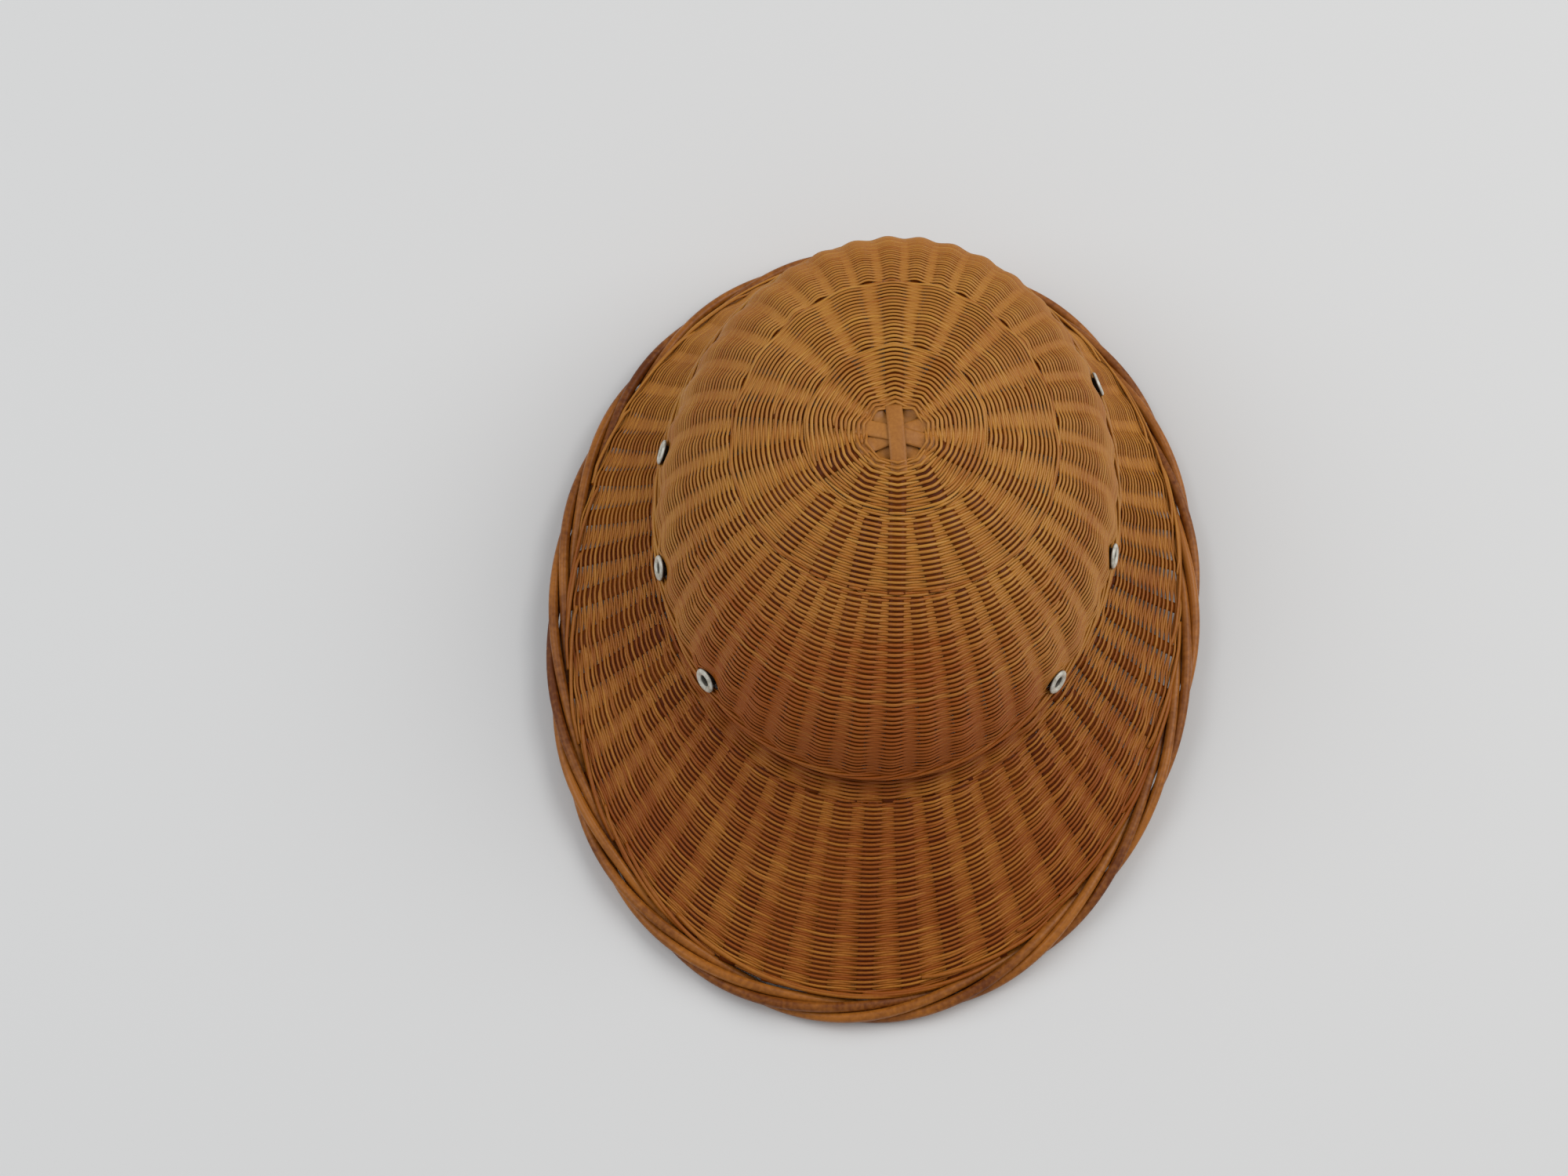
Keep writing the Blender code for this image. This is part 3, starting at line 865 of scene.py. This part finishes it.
def wale_strands(count, turns, out, out_swing, lift, lift_swing):
    """Strands twisted round a line that lies out from the crown's foot, or in from it, and above or
    below it, each measured from the wall at WALE_SHARE."""
    around = np.arange(WALE_STATIONS) / WALE_STATIONS
    share = np.full(WALE_STATIONS, WALE_SHARE)
    normal = normal_of(crown_surface, around, share)
    seat = crown_surface(around, share)
    strands = []
    for number in range(count):
        turn = 2 * np.pi * (turns * around + number / count)
        turn = turn + 0.25 * np.sin(2 * np.pi * (9 * around + rng.random()))
        aside = normal * (out + out_swing * np.cos(turn))[:, None]
        path = seat + aside + np.array([0, 0, 1.0]) * (lift + lift_swing * np.sin(turn))[:, None]
        strands.append({
            "path": path, "up": normal, "closed": True,
            "wide": WALE_WIDE, "tall": WALE_TALL, "tone": float(rng.random()) * 0.5,
        })
    return strands


# The outer strands show over the brim, and the inner ones close the slit between crown and brim
outer_wale = wale_strands(4, 11, out=0.0004, out_swing=0.0009, lift=0.0014, lift_swing=0.0013)
inner_wale = wale_strands(4, 17, out=-0.0006, out_swing=0.0005, lift=-0.0034, lift_swing=0.0011)
bundle("foot_wale", outer_wale + inner_wale, CROWN_CANE, CROWN_NODES)


# Border rods, laid round each other

def border_rod(number):
    share = np.arange(ROD_STATIONS) / ROD_STATIONS
    tangent = edge_tangent(share)
    outward = unit(np.cross(tangent, [0, 0, 1]))
    upward = unit(np.cross(outward, tangent))
    turn = 2 * np.pi * (ROD_TURNS * share + number / ROD_COUNT) - np.pi / 2
    turn = turn + 0.10 * np.sin(2 * np.pi * (5 * share + rng.random()))
    lay = LAY_RADIUS * (1 + wobble(share, 0.012))
    path = edge_point(share) + (np.cos(turn) * lay)[:, None] * outward
    path = path + (np.sin(turn) * lay)[:, None] * upward
    radius = ROD_RADIUS * (ROD_FULLNESS + wobble(share, 0.02))
    rod = {
        "path": path, "up": upward, "closed": True,
        "wide": radius, "tall": radius, "tone": float(rng.random()),
    }
    nodes = (f"border_rod_{number + 1}",)
    bundle(f"border_rod_dressed_{number + 1}", [rod], ROD_CANE, nodes, sides=14)


for number in range(ROD_COUNT):
    border_rod(number)


# Hub splints, flat and crossed, each a little lower than the one before

def hub_splint(number):
    bearing = math.radians(SPLINT_BEARINGS[number]) - STAKE_TURN - SPLINT_LEAN
    along = np.array([math.sin(bearing), math.cos(bearing), 0.0])
    place = np.linspace(-SPLINT_REACH, SPLINT_REACH, SPLINT_STATIONS)
    # Flat over the hub, then down under the first rows
    settle = smooth((np.abs(place) - 0.0088) / 0.0055)
    stack = SPLINT_DEPTH + number * SPLINT_STEP
    share = (np.abs(place) - HUB_RADIUS) / (CROWN_HALF_WIDTH - HUB_RADIUS)
    top = crown_surface(np.full(SPLINT_STATIONS, 0.25), share)[:, 2]
    level = top - stack * (1 - settle) - WEAVE_DEPTH * settle
    path = np.array([0, CROWN_CENTRE_Y, 0]) + along * place[:, None]
    path[:, 2] = level
    up = np.broadcast_to([0.0, 0.0, 1.0], path.shape)
    strip = {
        "path": path, "up": up, "closed": False,
        "wide": SPLINT_WIDTH / 2, "tall": SPLINT_HALF, "tone": 0.1 + 0.8 * rng.random(),
    }
    nodes = (f"hub_splint_{number + 1}",)
    bundle(f"hub_splint_dressed_{number + 1}", [strip], SPLINT_CANE, nodes, sides=12)


for number in range(len(SPLINT_BEARINGS)):
    hub_splint(number)


# Eyelets, turned with a rounded flange

def eyelet(name, bearing):
    around = np.array(bearing / 360)
    share = np.array(EYELET_SHARE)
    normal = normal_of(crown_surface, around, share)
    seat = crown_surface(around, share) + normal * lip_swell(around, share)
    normal = unit(normal + np.array([0, 0, EYELET_TILT]))
    level = unit(np.cross([0, 0, 1], normal))
    upright = np.cross(normal, level)
    # Radius and height of the turned profile: up the bore, over the flange and down the barrel
    profile = [(EYELET_BORE, EYELET_DEPTH), (EYELET_BORE, GAP + 0.2 * EYELET_RISE)]
    middle_radius = (EYELET_BORE + EYELET_FLANGE) / 2
    half = (EYELET_FLANGE - EYELET_BORE) / 2
    for step in range(1, EYELET_ROUND_STEPS):
        a = math.pi * (1 - step / EYELET_ROUND_STEPS)
        profile.append((middle_radius + half * math.cos(a), GAP + EYELET_RISE * (0.2 + 0.8 * math.sin(a))))
    profile += [(EYELET_FLANGE, GAP + 0.1 * EYELET_RISE), (EYELET_FLANGE - 0.0003, GAP - 0.0001)]
    profile += [(EYELET_BARREL, GAP - 0.0001), (EYELET_BARREL, EYELET_DEPTH)]
    sides, rungs = EYELET_SIDES, len(profile)
    turn = 2 * np.pi * np.arange(sides) / sides
    spoke = level * np.cos(turn)[:, None] + upright * np.sin(turn)[:, None]
    radius = np.array([p[0] for p in profile])
    height = np.array([p[1] for p in profile])
    points = seat + spoke[:, None] * radius[None, :, None] + normal * height[None, :, None]
    i, j = np.meshgrid(np.arange(sides), np.arange(rungs), indexing="ij")
    k, m = (i + 1) % sides, (j + 1) % rungs
    quads = np.stack([i * rungs + j, i * rungs + m, k * rungs + m, k * rungs + j], axis=-1).reshape(-1, 4)
    u0, u1, v0, v1 = i / sides, (i + 1) / sides, j / rungs, (j + 1) / rungs
    uv = np.stack([u0, v0, u0, v1, u1, v1, u1, v0], axis=-1).reshape(-1, 2)
    # Painted shade: 0 down the bore and barrel, which the finish paints near black; 1 on top of the flange,
    # where the metal's own tint shows.
    clear_of_bore_shade = smooth((height - GAP) / (0.6 * EYELET_RISE))
    tone = np.broadcast_to(clear_of_bore_shade, (sides, rungs)).ravel()
    made = mesh_object(name + "_turned", points.reshape(-1, 3), [quads], uv, tone, EYELET_METAL)
    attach(made, "root")
    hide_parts(name)


for name, bearing in EYELET_BEARINGS.items():
    eyelet(name, bearing)


# Floor, light and camera

def plain_floor():
    mesh = bpy.data.meshes.new("pale_floor")
    mesh.from_pydata([(-4, -4, 0), (4, -4, 0), (4, 4, 0), (-4, 4, 0)], [], [(0, 1, 2, 3)])
    floor = bpy.data.objects.new("pale_floor", mesh)
    bpy.context.scene.collection.objects.link(floor)
    look = bpy.data.materials.new("pale_floor")
    look.use_nodes = True
    shader = look.node_tree.nodes["Principled BSDF"]
    shader.inputs["Base Color"].default_value = (0.725, 0.725, 0.72, 1)
    shader.inputs["Roughness"].default_value = 0.9
    shader.inputs["Specular IOR Level"].default_value = 0.1
    mesh.materials.append(look)


def area_light(name, at, towards, size, watts, colour):
    data = bpy.data.lights.new(name, "AREA")
    data.shape = "DISK"
    data.size = size
    data.energy = watts
    data.color = colour
    lamp = bpy.data.objects.new(name, data)
    bpy.context.scene.collection.objects.link(lamp)
    lamp.location = at
    lamp.rotation_euler = (Vector(towards) - Vector(at)).to_track_quat("-Z", "Y").to_euler()


def camera():
    data = bpy.data.cameras.new("camera")
    data.lens = 72
    data.sensor_width = 36
    data.clip_start = 0.05
    data.clip_end = 20
    made = bpy.data.objects.new("camera", data)
    bpy.context.scene.collection.objects.link(made)
    at = Vector((-0.00032, -0.45647, 1.28323))
    aim = Vector((-0.03814, -0.01146, 0.06169))
    roll = math.radians(2.65)
    forward = (aim - at).normalized()
    level = forward.cross(Vector((0, 0, 1))).normalized()
    above = level.cross(forward)
    right = level * math.cos(roll) + above * math.sin(roll)
    up = right.cross(forward)
    made.matrix_world = Matrix((
        (right.x, up.x, -forward.x, at.x),
        (right.y, up.y, -forward.y, at.y),
        (right.z, up.z, -forward.z, at.z),
        (0, 0, 0, 1),
    ))
    bpy.context.scene.camera = made


plain_floor()
area_light("window", (1.7, 0.8, 2.1), (0, 0.03, 0.05), 2.6, 43, (1.0, 0.985, 0.965))
area_light("fill", (-1.7, 0.0, 2.0), (0, 0, 0.05), 2.4, 23, (0.96, 0.98, 1.0))
camera()

world = bpy.data.worlds.new("soft_room")
bpy.context.scene.world = world
world.use_nodes = True
world.node_tree.nodes["Background"].inputs["Color"].default_value = (0.96, 0.975, 1.0, 1)
world.node_tree.nodes["Background"].inputs["Strength"].default_value = 0.40
bpy.context.scene.view_settings.view_transform = "Standard"
